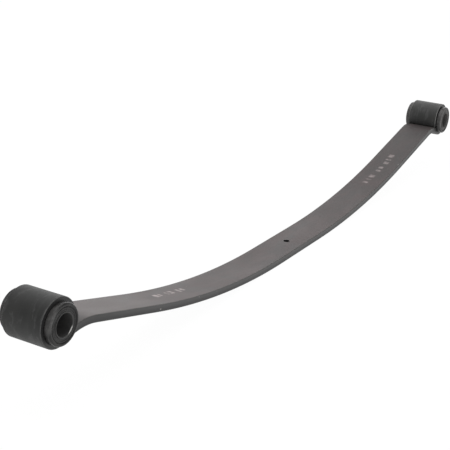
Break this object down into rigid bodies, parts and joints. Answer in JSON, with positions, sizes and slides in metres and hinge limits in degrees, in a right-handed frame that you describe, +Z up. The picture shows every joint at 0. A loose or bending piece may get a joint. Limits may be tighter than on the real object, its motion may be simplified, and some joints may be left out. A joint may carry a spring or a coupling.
{
  "type": "leaf spring",
  "caption": "Single-leaf suspension spring: a curved flat steel bar with a flat clamp seat and centre hole, and an upturned, rubber-bushed eye with a steel sleeve at each end.",
  "frame": {"origin": "middle of the centre hole, on the underside of the flat clamp seat", "axes": "+X along the leaf towards the rear eye, +Y across the leaf, +Z up towards the hollow side of the curve"},
  "size_m": [1.3405, 0.0792, 0.1473],
  "materials": {
    "leaf_steel": "thin matt grey paint over mill scale, satin where rubbed",
    "bush_rubber": "moulded, satin black",
    "sleeve_steel": "dark phosphated tube with bright chamfers"
  },
  "bodies": {
    "leaf": {"spring_leaf": "leaf_steel"},
    "front_bush": {"front_bush_near_half": "bush_rubber", "front_bush_far_half": "bush_rubber"},
    "front_sleeve": {"front_sleeve": "sleeve_steel"},
    "rear_bush": {"rear_bush_near_half": "bush_rubber", "rear_bush_far_half": "bush_rubber"},
    "rear_sleeve": {"rear_sleeve": "sleeve_steel"}
  },
  "joints": [
    {"name": "front_arm_flex", "type": "hinge", "parent": "leaf", "child": "front_bush", "pos_m": [-0.2577, 0, 0.0188], "axis": [0, -1, 0], "range_deg": [-2, 8], "stiffness_Nm_per_rad": 3200, "deforming": ["spring_leaf"]},
    {"name": "rear_arm_flex", "type": "hinge", "parent": "leaf", "child": "rear_bush", "pos_m": [0.2565, 0, 0.017], "axis": [0, 1, 0], "range_deg": [-2, 8], "stiffness_Nm_per_rad": 3220, "deforming": ["spring_leaf"]},
    {"name": "front_sleeve_turn", "type": "hinge", "parent": "front_bush", "child": "front_sleeve", "pos_m": [-0.639, 0, 0.11431], "axis": [0, 1, 0], "range_deg": [-20, 20], "stiffness_Nm_per_rad": 440},
    {"name": "rear_sleeve_turn", "type": "hinge", "parent": "rear_bush", "child": "rear_sleeve", "pos_m": [0.6355, 0, 0.09848], "axis": [0, 1, 0], "range_deg": [-20, 20], "stiffness_Nm_per_rad": 440}
  ]
}
